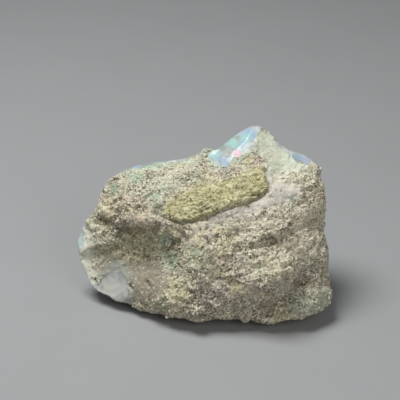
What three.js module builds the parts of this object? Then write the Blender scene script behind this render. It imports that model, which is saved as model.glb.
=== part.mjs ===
// A rough Ethiopian opal: a broken nodule with a grainy crust of weathered volcanic ash on its front,
// and bare, glassy opal on its back and along its top edges. It is one stone, so it is one solid.
// Millimetres, +Z up, +X along the stone. It rests on a small flat spot at Z = 0.
//
// The stone is described as it is seen from in front: every place is [right, up, near], where near is
// how far it stands toward the viewer, measured from a point inside the stone that the viewer looks at.

import * as THREE from "three";
import { ImprovedNoise } from "three/addons/math/ImprovedNoise.js";
import { mergeVertices } from "three/addons/utils/BufferGeometryUtils.js";

// The viewer looks along +Y and down by this angle, from this far away.
const VIEWER_ELEVATION = THREE.MathUtils.degToRad(27);
const VIEWER_DISTANCE = 260;
// The point that the viewer looks at, in the stone's own frame.
const LOOKED_AT = new THREE.Vector3(-0.6, 3.9, 17.5);

// The inside point that the surface is measured from.
const HEART = [1.1, -5.0, 0.0];
// How boxy the rim's rounding is: 2 is a lens, and more is flatter with a tighter edge.
const RIM_POWER = 3.6;
const LEAST_THICKNESS = 1.6;
const FACE_ROUNDING = 1.6;
const BASE_ROUNDING = 1.2;

// Uneven lumps all over, coarse ones and finer ones.
const LUMP_LAYERS = [
  { size: 7.5, height: 0.9 },
  { size: 3.4, height: 0.5 },
];

// How finely the surface is divided, and the proportions that keep its triangles about even.
const SURFACE_ROWS = 19;
const BALL_STRETCH = new THREE.Vector3(1.6, 1, 1.05);
const MERGE_DISTANCE = 1e-5;
// The surface lies closer to the heart than this, and is found by halving this many times.
const SEARCH_REACH = 45;
const SEARCH_STEPS = 40;
const RIM_SAMPLES = 1440;

// The rim is the stone's widest line, all round, as the viewer sees it against the ground.
const RIM = [
  [8.9, 13.3, -1.0],
  [10.2, 13.6, -0.5],
  [11.5, 12.9, -1.0],
  [13.3, 11.3, -1.5],
  [16.0, 9.1, -2.0],
  [19.0, 8.0, -2.0],
  [21.1, 6.0, -1.0],
  [21.8, 3.3, 0.0],
  [22.2, 0.7, 0.5],
  [22.3, -2.1, 1.0],
  [22.1, -4.9, 1.0],
  [22.6, -7.9, 1.0],
  [22.9, -11.2, 1.0],
  [22.8, -13.9, 1.0],
  [23.9, -17.8, 1.7],
  [23.4, -19.2, 2.7],
  [19.6, -21.7, 6.2],
  [16.0, -21.5, 5.9],
  [14.0, -22.3, 6.5],
  [11.3, -22.6, 6.9],
  [9.0, -21.7, 5.8],
  [1.4, -21.8, 6.0],
  [-1.9, -21.5, 5.4],
  [-5.2, -20.7, 4.3],
  [-9.5, -19.8, 2.5],
  [-13.1, -18.7, 1.2],
  [-14.8, -18.8, 1.0],
  [-17.5, -17.7, -0.5],
  [-19.3, -15.5, -1.5],
  [-20.4, -12.9, -2.2],
  [-21.4, -9.6, -3.0],
  [-22.1, -7.9, -3.5],
  [-21.7, -6.4, -3.5],
  [-19.6, -3.6, -3.0],
  [-18.8, -1.6, -3.0],
  [-17.9, 1.0, -3.0],
  [-16.8, 3.0, -3.0],
  [-13.5, 5.5, -3.0],
  [-9.2, 6.8, -3.0],
  [-4.5, 7.3, -2.5],
  [-1.9, 7.8, -2.0],
  [1.1, 9.1, -1.0],
  [2.4, 9.0, -1.5],
  [4.1, 10.0, -1.5],
  [6.4, 11.8, -1.5],
];

// Broken faces of the front and of the back: a place on each, and the way that it faces.
const FRONT_FACES = {
  peak: { at: [8, 4, 6.2], facing: [0.03, 0.5, 0.86] },
  main: { at: [8, -6, 9.0], facing: [0.03, 0.22, 0.97] },
  lower: { at: [6, -18, 9.6], facing: [0.02, -0.02, 1.0] },
  leftUpper: { at: [-12, 0, 3.6], facing: [-0.2, 0.46, 0.87] },
  leftLower: { at: [-14, -14, 4.2], facing: [-0.38, 0.02, 0.92] },
  rightEnd: { at: [20, -6, 7.6], facing: [0.42, 0.08, 0.9] },
};
const BACK_FACES = {
  upper: { at: [4, 6, -7.5], facing: [0.05, 0.46, -0.88] },
  main: { at: [3, -4, -13.4], facing: [0.02, -0.12, -0.99] },
  left: { at: [-14, -6, -9.0], facing: [-0.52, 0.12, -0.84] },
  right: { at: [17, -6, -9.6], facing: [0.6, 0.05, -0.8] },
};

// Swells and hollows: where, how far each reaches along and across its own length, how its length is
// turned, and how far it rises. A negative rise is a hollow.
const FRONT_RELIEF = {
  leftHollow: { at: [-11.6, -9.8], reach: [6.6, 4.2], turn: -4, rise: -4.0 },
  leftHollowEnd: { at: [-5.6, -9.8], reach: [3.0, 3.8], turn: 0, rise: -2.3 },
  leftLobeLip: { at: [-11.5, -3.4], reach: [7.0, 1.6], turn: -6, rise: 0.8 },
  leftFoot: { at: [-13.5, -18.5], reach: [7.0, 4.6], turn: -8, rise: -2.4 },
  tuffSlab: { at: [2.6, 0.0], reach: [9.0, 2.0], turn: 16, rise: 0.6 },
  rightShoulder: { at: [13.5, -5.6], reach: [6.0, 2.6], turn: 18, rise: 1.3 },
  rightCrease: { at: [13.8, -7.4], reach: [5.6, 0.9], turn: 20, rise: -1.6 },
  rightRidge: { at: [12.0, -14.4], reach: [6.6, 2.1], turn: 24, rise: 2.6 },
  lowHollow: { at: [12.2, -18.4], reach: [5.0, 1.9], turn: 14, rise: -2.4 },
  lowBulge: { at: [19.8, -18.4], reach: [3.2, 1.8], turn: 10, rise: 0.7 },
  lowDimple: { at: [18.8, -14.6], reach: [2.4, 1.9], turn: 0, rise: -1.7 },
  lowLeftSwell: { at: [-5.0, -18.4], reach: [5.5, 3.0], turn: -8, rise: 1.8 },
  rightNotch: { at: [21.2, -4.4], reach: [1.8, 1.8], turn: 0, rise: -3.6 },
};
const BACK_RELIEF = {
  shellBreak: { at: [-3.0, -3.0], reach: [8.0, 6.0], turn: 25, rise: -2.6 },
  lowerShell: { at: [11.5, -8.0], reach: [5.5, 4.5], turn: -20, rise: -1.8 },
  upperShell: { at: [9.0, 5.0], reach: [6.0, 3.5], turn: 10, rise: -1.4 },
};

// Under the stone the surface turns up all round a small flat spot, here in the stone's own frame.
const BASE_FACES = [
  { at: [-9, 0, 0], facing: [-0.155, 0, -0.985] },
  { at: [13, 0, 0], facing: [0.22, 0, -0.975] },
  { at: [0, 5, 0], facing: [0, 0.35, -0.94] },
  { at: [0, -7.5, 0], facing: [0, -0.2, -0.98] },
];

const noise = new ImprovedNoise();
const toRight = new THREE.Vector3(1, 0, 0);
const toUp = new THREE.Vector3(0, Math.sin(VIEWER_ELEVATION), Math.cos(VIEWER_ELEVATION));
const toViewer = new THREE.Vector3(0, -Math.cos(VIEWER_ELEVATION), Math.sin(VIEWER_ELEVATION));

// A point of the stone's frame as it is seen, with perspective: further things look smaller.
function seen(point) {
  const offset = point.clone().sub(LOOKED_AT);
  const near = offset.dot(toViewer);
  const enlarged = VIEWER_DISTANCE / (VIEWER_DISTANCE - near);
  return new THREE.Vector3(offset.dot(toRight) * enlarged, offset.dot(toUp) * enlarged, near);
}

// The point of the stone's frame that is seen at a place.
function placed([right, up, near]) {
  const shrunk = (VIEWER_DISTANCE - near) / VIEWER_DISTANCE;
  return LOOKED_AT.clone()
    .addScaledVector(toRight, right * shrunk)
    .addScaledVector(toUp, up * shrunk)
    .addScaledVector(toViewer, near);
}

function smoothStep(share) {
  const t = THREE.MathUtils.clamp(share, 0, 1);
  return t * t * (3 - 2 * t);
}

// The larger of two distances, rounded off where they are nearly equal.
function roundedMax(a, b, rounding) {
  const overlap = Math.max(rounding - Math.abs(a - b), 0) / rounding;
  return Math.max(a, b) + (overlap * overlap * rounding) / 4;
}

// The rim by the angle at which it is seen from the heart: how far out it is, and how near.
function rimByAngle() {
  const places = RIM.map((place) => new THREE.Vector3(...place));
  return new THREE.CatmullRomCurve3(places, true, "centripetal")
    .getPoints(RIM_SAMPLES)
    .map((place) => {
      const right = place.x - HEART[0];
      const up = place.y - HEART[1];
      return { angle: Math.atan2(up, right), reach: Math.hypot(right, up), near: place.z };
    })
    .sort((a, b) => a.angle - b.angle);
}

const rim = rimByAngle();
function rimAt(angle) {
  let low = 0;
  let high = rim.length - 1;
  while (high - low > 1) {
    const middle = (low + high) >> 1;
    if (rim[middle].angle > angle) high = middle;
    else low = middle;
  }
  return rim[low];
}

// How far a set of swells and hollows rises at a place.
function reliefAt(relief, right, up) {
  let rise = 0;
  for (const swell of Object.values(relief)) {
    const turn = THREE.MathUtils.degToRad(swell.turn);
    const offRight = right - swell.at[0];
    const offUp = up - swell.at[1];
    const along = (offRight * Math.cos(turn) + offUp * Math.sin(turn)) / swell.reach[0];
    const across = (offUp * Math.cos(turn) - offRight * Math.sin(turn)) / swell.reach[1];
    rise += swell.rise * Math.exp(-(along * along + across * across));
  }
  return rise;
}

// How far the lowest of a side's broken faces stands out at a place. Side is 1 in front and -1 behind.
function faceHeight(faces, side, right, up) {
  const heights = Object.values(faces).map((face) => {
    const drop = (right - face.at[0]) * face.facing[0] + (up - face.at[1]) * face.facing[1];
    return side * face.at[2] - drop / Math.abs(face.facing[2]);
  });
  return heights.reduce((lowest, height) => -roundedMax(-lowest, -height, FACE_ROUNDING));
}

function lumps(point) {
  return LUMP_LAYERS.reduce(
    (sum, layer) =>
      sum + layer.height * noise.noise(point.x / layer.size, point.y / layer.size, point.z / layer.size),
    0,
  );
}

// Distance outside the body that ends at the rim, about right near its surface.
function outsideBody(point) {
  const place = seen(point);
  const right = place.x - HEART[0];
  const up = place.y - HEART[1];
  const edge = rimAt(Math.atan2(up, right));
  const share = Math.hypot(right, up) / edge.reach;
  const middle = HEART[2] + (edge.near - HEART[2]) * smoothStep(share);
  const side = place.z > middle ? 1 : -1;
  const [faces, relief] = side > 0 ? [FRONT_FACES, FRONT_RELIEF] : [BACK_FACES, BACK_RELIEF];
  const uneven = reliefAt(relief, place.x, place.y) + lumps(point);
  const stands = faceHeight(faces, side, place.x, place.y) + uneven;
  const thickness = Math.max(stands - side * middle, LEAST_THICKNESS);
  const away = Math.abs(place.z - middle) / thickness;
  const bulge = Math.pow(share, RIM_POWER) + Math.pow(away, RIM_POWER);
  return (Math.pow(bulge, 1 / RIM_POWER) - 1) * Math.min(edge.reach, thickness);
}

// Distance outside the whole stone: below 0 inside, above 0 outside.
function outsideStone(point) {
  const roughness = lumps(point) / 2;
  const upturned = BASE_FACES.reduce((distance, face) => {
    const facing = new THREE.Vector3(...face.facing);
    const outside = point.clone().sub(new THREE.Vector3(...face.at)).dot(facing);
    return roundedMax(distance, outside + roughness, BASE_ROUNDING);
  }, outsideBody(point));
  return Math.max(upturned, -point.z);
}

// The surface point that lies from the heart in a direction, found by halving.
function surfacePoint(heart, direction) {
  let inside = 0;
  let outside = SEARCH_REACH;
  for (let step = 0; step < SEARCH_STEPS; step++) {
    const middle = (inside + outside) / 2;
    if (outsideStone(heart.clone().addScaledVector(direction, middle)) < 0) inside = middle;
    else outside = middle;
  }
  return heart.clone().addScaledVector(direction, outside);
}

// A ball of even triangles, stretched to the stone's own proportions and pulled onto its surface.
function stoneGeometry() {
  const heart = placed(HEART);
  const ball = new THREE.IcosahedronGeometry(1, SURFACE_ROWS);
  ball.deleteAttribute("normal");
  ball.deleteAttribute("uv");
  const geometry = mergeVertices(ball, MERGE_DISTANCE);
  const position = geometry.getAttribute("position");
  for (let i = 0; i < position.count; i++) {
    const direction = new THREE.Vector3().fromBufferAttribute(position, i).multiply(BALL_STRETCH).normalize();
    const point = surfacePoint(heart, direction);
    position.setXYZ(i, point.x, point.y, Math.max(point.z, 0));
  }
  geometry.computeVertexNormals();
  return geometry;
}

const crust = new THREE.MeshStandardMaterial({ color: 0xb9b19a, roughness: 0.92, metalness: 0 });
const stone = new THREE.Mesh(stoneGeometry(), crust);
stone.name = "opal_stone";

const part = new THREE.Group();
part.add(stone);

export default part;
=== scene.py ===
from math import cos, pi, radians, sin

import bmesh
import bpy
import numpy as np
from bpy.props import FloatProperty, FloatVectorProperty, PointerProperty
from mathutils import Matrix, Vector, noise
from mathutils.bvhtree import BVHTree


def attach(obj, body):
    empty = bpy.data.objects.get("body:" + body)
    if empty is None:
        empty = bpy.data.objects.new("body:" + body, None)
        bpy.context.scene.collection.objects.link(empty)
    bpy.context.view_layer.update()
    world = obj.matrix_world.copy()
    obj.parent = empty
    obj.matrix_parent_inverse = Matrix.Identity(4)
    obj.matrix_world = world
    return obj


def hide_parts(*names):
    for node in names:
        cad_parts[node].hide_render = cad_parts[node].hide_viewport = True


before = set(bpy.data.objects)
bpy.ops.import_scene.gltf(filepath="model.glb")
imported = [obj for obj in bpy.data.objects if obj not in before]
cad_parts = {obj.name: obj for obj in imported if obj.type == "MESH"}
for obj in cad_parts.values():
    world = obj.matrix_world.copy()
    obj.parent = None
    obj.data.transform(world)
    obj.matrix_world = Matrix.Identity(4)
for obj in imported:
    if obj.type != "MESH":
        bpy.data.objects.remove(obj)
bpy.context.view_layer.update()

bl_info = {
    "name": "Rough Opal Builder",
    "version": (1, 0, 0),
    "blender": (4, 5, 0),
    "location": "3D View > Sidebar > Opal",
    "description": "Models a rough opal with ash crust, tuff slab and bare opal, and its stage",
    "category": "Object",
}

# The solid that carries the looks, the body it belongs to and the name of the piece that it becomes.
SOLID = "opal_stone"
BODY = "root"
STONE_PIECE = "rough_opal"
MM = 0.001

# How the stone is looked at: along +Y and down, from this far away, at this point of its own frame.
VIEWER_ELEVATION = radians(27)
VIEWER_DISTANCE = 260.0
LOOKED_AT = np.array((-0.6, 3.9, 17.5))
TO_RIGHT = np.array((1.0, 0.0, 0.0))
TO_UP = np.array((0.0, sin(VIEWER_ELEVATION), cos(VIEWER_ELEVATION)))
TO_VIEWER = np.array((0.0, -cos(VIEWER_ELEVATION), sin(VIEWER_ELEVATION)))

# The stone's front is where its surface faces the viewer more than this, from not at all to in full. Its
# points are closer together where it faces the viewer more than the last value.
FRONT_FACING = (-0.25, 0.0)
FINE_FACING = -0.1
# The solid's loose triangles are merged where their corners are nearer than this, in metres.
MERGE_DISTANCE = 1e-7

# Places on the stone are [right, up] in millimetres, as the viewer sees them from LOOKED_AT.
HEART = (1.1, -5.0)

# Outlines of the patches of bare opal on the front.
OPAL_PATCHES = {
    "blue facet": [(1.4, 8.2), (3.9, 10.4), (6.4, 12.2), (8.4, 13.9), (10.2, 14.2), (10.7, 12.6),
                   (10.0, 10.9), (9.6, 9.2), (7.9, 8.3), (6.1, 7.4), (4.9, 5.9), (3.2, 6.3), (2.1, 7.2)],
    "right rim": [(13.1, 12.0), (16.1, 10.4), (18.4, 9.6), (20.2, 7.6), (19.3, 6.2), (17.6, 6.6),
                  (15.8, 8.1), (13.9, 9.9)],
    "top left rim": [(-14.0, 5.6), (-10.7, 7.3), (-7.2, 8.0), (-2.7, 8.1), (0.4, 9.4), (0.4, 8.4),
                     (-0.9, 7.6), (-2.6, 7.1), (-5.4, 6.8), (-8.9, 6.3), (-11.6, 5.4)],
    "left tip": [(-23.8, -7.2), (-23.2, -4.4), (-21.2, -4.2), (-20.7, -6.5), (-21.1, -8.4), (-23.8, -8.8)],
    "lower left": [(-20.2, -15.8), (-18.2, -14.9), (-16.7, -13.3), (-14.9, -12.4), (-13.6, -13.6),
                   (-12.9, -15.5), (-12.5, -18.2), (-12.9, -20.0), (-14.7, -20.2), (-17.4, -19.4),
                   (-19.4, -18.4)],
}

TUFF_SLAB = [(-6.3, -0.9), (-4.8, 0.2), (-2.8, 1.3), (-0.7, 2.7), (2.7, 3.2), (6.4, 4.2), (8.9, 5.1),
             (11.2, 6.3), (11.8, 4.3), (12.3, 1.8), (10.4, 0.5), (8.2, -0.5), (5.0, -1.4), (1.4, -2.7),
             (-1.4, -3.8), (-4.3, -3.9), (-6.1, -3.0)]
# The slab stands out at its lower and right-hand edges, which are crisp within the crisp reach. Away
# from them it sinks to the flush share of its height.
SLAB_STEP = [(11.2, 6.5), (11.8, 4.3), (12.3, 1.8), (10.4, 0.5), (8.2, -0.5), (5.0, -1.4), (1.4, -2.7),
             (-1.4, -3.8), (-4.3, -3.9)]
SLAB_FLUSH_SHARE = 0.2
SLAB_STEP_REACH = 3.0
SLAB_CRISP_REACH = 1.5
# How soft and how ragged its edge is, at the crisp edges and away from them.
SLAB_SOFT = (0.10, 0.65)
SLAB_RAGGED = (0.14, 0.64)

# Zones of the crust with a tint of their own, some with painted shade or light as noted: an outline, how
# soft its edge is and how far it wanders.
CRUST_ZONES = {
    "porcelain": ([(9.8, 13.0), (11.6, 12.9), (15.2, 10.4), (17.8, 7.4), (18.8, 5.6), (15.4, 5.1),
                   (12.9, 4.1), (11.9, 4.3), (11.2, 7.2), (9.9, 9.2)], 0.8, 0.8),
    "cream": ([(12.4, 4.6), (15.2, 5.2), (18.4, 6.4), (21.6, 4.6), (21.6, 1.6), (17.9, 2.0), (15.2, 2.9),
               (12.9, 2.9)], 0.8, 0.8),
    "lilac": ([(-1.3, -5.0), (1.1, -3.2), (5.0, -1.8), (8.6, -0.8), (12.4, 1.4), (11.9, 5.2), (12.8, 5.2),
               (13.6, 3.0), (17.9, 3.3), (19.0, 2.4), (17.4, 0.9), (14.7, -0.6), (11.1, -1.8),
               (7.9, -2.9), (4.3, -3.9), (1.1, -5.2)], 1.0, 1.1),
    "pale": ([(-21.2, -4.6), (-19.9, -4.6), (-19.2, -9.0), (-18.6, -13.0), (-18.8, -16.2),
              (-21.2, -16.0), (-22.8, -12.0), (-23.0, -8.0)], 0.9, 0.7),
    # Painted light: a near-white zone inside the left edge, where the crust faces down into shade.
    "left_painted_light": ([(-19.6, -5.0), (-17.6, -6.0), (-16.6, -10.0), (-16.8, -12.5), (-19.0, -12.5)], 1.2, 1.0),
    "light": ([(8.0, -1.8), (14.7, -1.0), (21.0, 1.5), (24.0, -3.0), (20.5, -9.0), (14.0, -12.0),
               (6.0, -9.0)], 2.0, 2.0),
    # Painted shade: the crust is darker along the foot, near the floor.
    "lower_shade": ([(15.0, -11.5), (23.0, -12.0), (23.0, -19.5), (10.0, -21.5), (-2.0, -20.5), (-1.0, -18.2),
              (9.0, -17.6), (14.0, -15.5)], 1.6, 1.5),
    "foot": ([(17.0, -17.6), (21.0, -16.2), (23.5, -16.0), (23.5, -19.5), (20.0, -21.5),
              (16.5, -21.5)], 0.9, 1.0),
    "haze": ([(-18.2, -14.2), (-16.6, -11.4), (-13.6, -11.0), (-12.2, -13.0), (-11.6, -16.0),
              (-12.2, -18.8), (-13.6, -18.0), (-14.2, -13.4), (-16.6, -14.4)], 1.0, 0.8),
    "mauve": ([(-0.5, -14.0), (4.5, -14.0), (5.0, -17.8), (0.5, -18.6), (-1.5, -16.0)], 1.3, 1.0),
    "sage": ([(-18.0, -1.5), (-16.8, 3.0), (-9.5, 5.5), (-2.0, 6.5), (0.5, 4.0), (-6.5, 0.5),
              (-8.5, -4.5), (-10.5, 1.0), (-17.0, 1.0), (-18.4, -4.0), (-20.0, -15.0), (-21.5, -13.0),
              (-21.5, -6.0)], 1.6, 1.2),
    # Olive tint darkened further as painted shade in the hollow under the left lobe.
    "olive": ([(-17.5, -5.5), (-12.0, -6.0), (-4.5, -5.0), (-3.5, -9.0), (-5.0, -12.5), (-11.0, -10.5),
               (-16.0, -10.5)], 1.6, 1.2),
    "brown": ([(-17.2, -0.7), (-15.0, 0.7), (-12.2, 0.7), (-9.3, -1.1), (-8.6, -3.2), (-10.7, -4.7),
               (-14.7, -3.9), (-17.2, -2.5)], 1.4, 1.2),
    "peach": ([(-14.9, 3.6), (-12.5, 5.5), (-8.9, 6.1), (-3.7, 6.5), (1.5, 8.6), (2.2, 7.2), (-0.4, 6.6),
               (-4.0, 5.2), (-8.0, 4.7), (-11.0, 4.5), (-13.2, 3.3)], 0.8, 0.8),
    "grey": ([(-18.4, -12.6), (-16.5, -10.6), (-14.0, -10.4), (-11.6, -10.9), (-7.2, -11.3),
              (-6.1, -13.4), (-5.8, -16.0), (-8.8, -18.4), (-12.6, -18.6), (-13.1, -15.4),
              (-14.1, -13.1), (-16.4, -12.9), (-18.4, -14.6)], 1.0, 0.9),
}
# How much less relief a zone has than the rest of the crust.
ZONE_CALM = {"porcelain": 0.75, "lilac": 0.8, "grey": 0.7, "haze": 0.85, "pale": 0.85, "foot": 0.6,
             "glaze": 0.5, "peach": 0.4}
# How far a zone is kept free of loose grains, and how far its material is kept free of speckle.
GRAINLESS = {"porcelain": 1.0, "grey": 0.75, "haze": 1.0, "pale": 1.0, "lilac": 0.9, "glaze": 0.6}
UNSPECKLED = {"porcelain": 1.0, "grey": 0.7, "lilac": 0.8, "pale": 1.0, "haze": 1.0}
# The masks that tint the crust with the colour of the same name, each over the ones before it.
TINTED = ("light", "lower_shade", "foot", "sage", "left_painted_light", "olive", "brown", "mauve", "peach", "cream", "lilac",
          "glaze", "grey", "haze", "pale", "porcelain", "green")

# Green spots of the crust: [right, up] and reach. Their ragged edges fade between these shares of it.
GREEN_SPOTS = [((-7.9, 0.6), 1.3), ((-15.6, 2.2), 1.2), ((-11.5, 3.6), 1.5), ((16.6, 0.2), 0.7),
               ((-5.2, -10.8), 2.4), ((-6.1, -6.8), 1.8), ((-9.0, 6.0), 1.2), ((16.9, -0.9), 0.8)]
GREEN_RAGGED = 0.5
GREEN_FADE = (1.0, 0.2)
# Beside bare opal the crust is a glaze, which fades over these distances from the opal's edge.
GLAZE_RAGGED = 0.8
GLAZE_FADE = (1.6, 0.2)

# Cracks and gullies of the front: the line that each follows, its width and its depth.
GULLIES = [
    ([(11.3, 6.6), (11.9, 4.3), (12.5, 1.7), (10.4, 0.3), (8.4, -0.6), (5.0, -1.6),
      (1.4, -2.9)], 0.26, 0.55),
    ([(-8.2, -2.2), (-6.8, -3.0), (-5.0, -3.7), (-3.2, -4.2), (-0.9, -3.8), (1.2, -3.0)], 0.45, 0.60),
    ([(-18.2, -3.6), (-16.1, -4.9), (-13.6, -5.6), (-10.7, -5.9), (-8.0, -5.2)], 0.80, 0.80),
    ([(-9.9, 0.6), (-8.6, 1.3), (-7.3, 1.4)], 0.30, 0.55),
    ([(5.0, 1.8), (6.8, 2.3), (8.1, 1.8)], 0.28, 0.35),
    ([(8.4, -17.8), (11.1, -18.7), (14.4, -18.9)], 0.35, 0.45),
    ([(-12.6, -15.4), (-12.2, -15.9)], 0.35, 0.70),
    ([(-9.7, -14.6), (-9.3, -15.2)], 0.30, 0.50),
    ([(-2.2, -16.1), (-1.0, -16.5), (0.4, -16.3)], 0.35, 0.45),
    ([(17.6, -14.9), (18.8, -14.6)], 0.60, 0.60),
]
# Ledges of the front: the line of each, how high its left-hand side stands and how far that reaches.
LEDGES = [
    ([(18.6, -5.2), (15.6, -6.6), (14.0, -7.3), (12.5, -8.4), (10.4, -8.8), (7.6, -9.2)], 0.75, 2.2),
    ([(16.2, -14.6), (13.4, -16.1), (11.1, -16.3), (9.3, -15.4), (6.9, -14.6)], -0.60, 1.8),
    ([(16.3, 2.8), (18.3, 2.1), (20.4, 2.3)], 0.35, 1.0),
]

# Shells broken out of the front: [right, up], width across, depth, and the way that the break faces.
FRONT_SHELLS = [
    ((6.6, 10.6), 8.6, 0.45, (-0.45, 0.72, 0.53)),
    ((3.7, 7.9), 4.8, 0.32, (-0.40, 0.72, 0.57)),
    ((14.3, 7.9), 9.6, 0.32, (0.14, 0.50, 0.85)),
    ((17.9, 8.3), 4.6, 0.40, (0.52, 0.62, 0.59)),
    ((-16.7, -16.6), 8.6, 0.30, (-0.42, 0.22, 0.88)),
    ((-9.6, 6.5), 5.0, 0.35, (-0.25, 0.80, 0.54)),
    ((-4.4, 7.2), 4.4, 0.30, (0.02, 0.84, 0.54)),
    ((-21.4, -7.6), 4.6, 0.35, (-0.58, 0.42, 0.70)),
]
# Shells broken out of the back, which is bare opal: [right, up], width across and depth.
BACK_SHELLS = [
    ((-14.5, -6.0), 17.0, 1.9), ((-3.5, -0.5), 15.0, 1.6), ((4.0, -9.0), 17.0, 2.0),
    ((13.0, -2.5), 15.0, 1.8), ((18.0, -10.0), 13.0, 1.5), ((9.0, 4.5), 9.0, 0.8),
    ((-8.5, -13.0), 13.0, 1.5), ((-10.0, 2.0), 9.0, 0.8), ((-19.5, -8.5), 6.0, 0.5),
    ((7.5, 1.0), 6.0, 0.5), ((-5.0, -6.5), 6.0, 0.5), ((15.0, 4.5), 5.0, 0.4), ((19.0, -3.0), 6.0, 0.5),
    ((10.5, -6.5), 4.5, 0.4),
]
# Height and spacing of the ripples on the shells, which spread from the blow.
SHELL_RIPPLE = 0.02
SHELL_RIPPLE_SPACING = 1.3

# Flashes of colour in the bare opal of the front: [right, up], reach, and the name of the flash's tone. The
# white flashes at (4.9, 8.2), (8.3, 9.1) and (9.0, 9.8) are painted glints of the key light; the other white
# ones are milky opal.
FLASHES = [
    ((5.6, 11.2), 2.2, "green"), ((3.6, 9.8), 1.8, "green"), ((9.9, 11.0), 1.8, "ice_and_glint"),
    ((10.4, 12.8), 1.6, "ice_and_glint"), ((8.6, 12.2), 1.9, "sky"), ((7.2, 12.4), 1.0, "violet"),
    ((7.9, 10.8), 1.3, "mint"), ((6.1, 10.0), 1.5, "mint"), ((7.7, 9.9), 0.9, "sky"),
    ((9.0, 9.8), 0.9, "ice_and_glint"), ((8.3, 9.1), 0.9, "ice_and_glint"), ((2.6, 8.2), 1.4, "mint"), ((4.1, 7.0), 1.6, "sky"),
    ((4.9, 8.2), 1.0, "ice_and_glint"), ((6.6, 8.4), 0.9, "rose"), ((15.4, 9.4), 2.4, "ice_and_glint"),
    ((17.8, 8.0), 2.0, "ice_and_glint"), ((17.7, 7.7), 1.0, "sky"), ((19.3, 7.0), 0.9, "violet"),
    ((-12.0, 6.0), 1.4, "sky"), ((-9.4, 6.8), 1.7, "green"), ((-5.2, 7.4), 2.0, "ice_and_glint"),
    ((-1.4, 7.9), 1.4, "peach"), ((-22.0, -7.2), 3.4, "ice_and_glint"), ((-22.4, -7.0), 2.0, "mint"),
    ((-16.2, -16.4), 5.5, "milk"),
]
# A flash's ragged edge fades between these shares of its reach, and where the surface turns away.
FLASH_STRENGTH = 0.9
FLASH_RAGGED = 0.6
FLASH_FADE = (1.3, 0.2)
FLASH_FACING = (0.0, 0.25)
# The play of colour of the rest of the opal: weak on the front, and stronger where the surface turns away.
FRONT_PLAY = 0.12
BACK_PLAY = 0.7
PLAY_FACING = (0.35, -0.1)
# How far the edges of its patches bend, in metres.
PLAY_BEND = (0.0022, 0.0022, 0.0022)
# Its hue drifts over one set of clouds and its sheen over another, this many times as fine as its patches.
PLAY_DRIFT_FINENESS = 0.4
PLAY_SHEEN_FINENESS = 0.7
# What the drift adds to a patch's hue and chance to its sheen, between which sheens it comes to show, and
# how far in from its edge it shows in full, as a share of its width.
PLAY_DRIFT = 0.5
PLAY_CHANCE = 0.5
PLAY_SHOWN = (1.05, 1.45)
PLAY_EDGE = 0.22
# Its broad patches, and its fine ones with how strongly they show. Scales are in patches to a metre.
BROAD_PLAY = {"Scale": 380.0, "Cover": 0.60, "Patches": 0.7}
FINE_PLAY = {"Scale": 1000.0, "Cover": 0.50, "Patches": 0.7}
FINE_PLAY_SHARE = 0.5
# The opal's duller clouds, how strongly they show, and its roughness outside and inside them.
OPAL_CLOUDS = {"Scale": 140.0, "Cover": 0.5}
OPAL_CLOUD_SHARE = 0.25
OPAL_ROUGHNESS = (0.26, 0.42)
OPAL_SURFACE = {
    "IOR": 1.44,
    "Transmission Weight": 0.15,
    "Subsurface Weight": 0.5,
    "Subsurface Radius": (1.0, 1.0, 1.0),
    "Subsurface Scale": 0.0012,
    "Coat Weight": 0.18,
    "Coat Roughness": 0.06,
}

# The crust's tinted blotches: the colour, the scale, a shift that sets each apart and how much they cover.
CRUST_BLOTCHES = [
    ("ash_green", 160.0, (0.0, 0.0, 0.0), 0.45),
    ("ash_pink", 210.0, (0.3, 0.1, 0.7), 0.45),
    ("ash_yellow", 190.0, (0.6, 0.2, 0.1), 0.40),
]
# Where a blotch's clouds begin and are in full, and how far its cover moves both.
BLOTCH_ENDS = (0.22, 0.38)
BLOTCH_MOVE = 0.4
# How strongly the zones tint the crust and calm its speckle, and how dark the painted shade in pits, gullies
# and valleys is.
ZONE_TINT = 0.8
ZONE_QUIET = 0.8
RECESS_SHADE_TINT = 0.8
# Blotches in which the speckle is weaker, down to this share.
VEIL = {"Scale": 260.0, "Offset": (0.2, 0.9, 0.4), "Cover": 0.5}
VEIL_SHARE = 0.5
# The finest speckle, how soft its edges are and how strongly it shows in the crust and in the tuff.
FINE_SPECKLE = {"Scale": 5000.0, "Light Share": 0.28, "Dark Share": 0.26}
SPECKLE_SOFT = 0.05
FINE_LIGHT = 0.65
FINE_DARK = 0.9
TUFF_SPECKLE = 0.5
# The crust's own grains are paler on top and darker between: the heights where that begins and is in full,
# and the shares of it there.
GRAIN_TOPS = (0.1, 1.0, 0.0, 0.4)
GRAIN_GAPS = (-0.3, -1.0, 0.0, 0.5)
TUFF_PATCHES = {"Scale": 380.0, "Cover": 0.45}
# The crust's roughness where it is grainy and where it is calm, and the height of its finest speckle.
CRUST_ROUGHNESS = (0.92, 0.5)
CRUST_BUMP = {"Strength": 1.0, "Distance": 0.00016}
GRAINS_ROUGHNESS = 0.75
# The tones of the loose grains, from the darkest to the palest, in the ash and in the tuff.
ASH_GRAINS = ((0.0, "dark_grains_and_shade"), (0.15, "brown"), (0.4, "ash"), (1.0, "grain_light"))
TUFF_GRAINS = ((0.0, "tuff_dark"), (0.3, "tuff"), (0.7, "tuff_light"))

# How far round the stone's edge the crust reaches: it ends where the surface faces the viewer less than
# this, give or take the wander. The key is the way out from the heart, in degrees, from the right and up
# over the top.
CRUST_ENDS = {-180: -0.10, -165: -0.35, -150: -0.20, -125: -0.45, -60: -0.60, -20: -0.50, 10: -0.20,
              40: 0.04, 170: 0.08}
CRUST_WANDER = 0.22
CRUST_SOFT = 0.05
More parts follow.
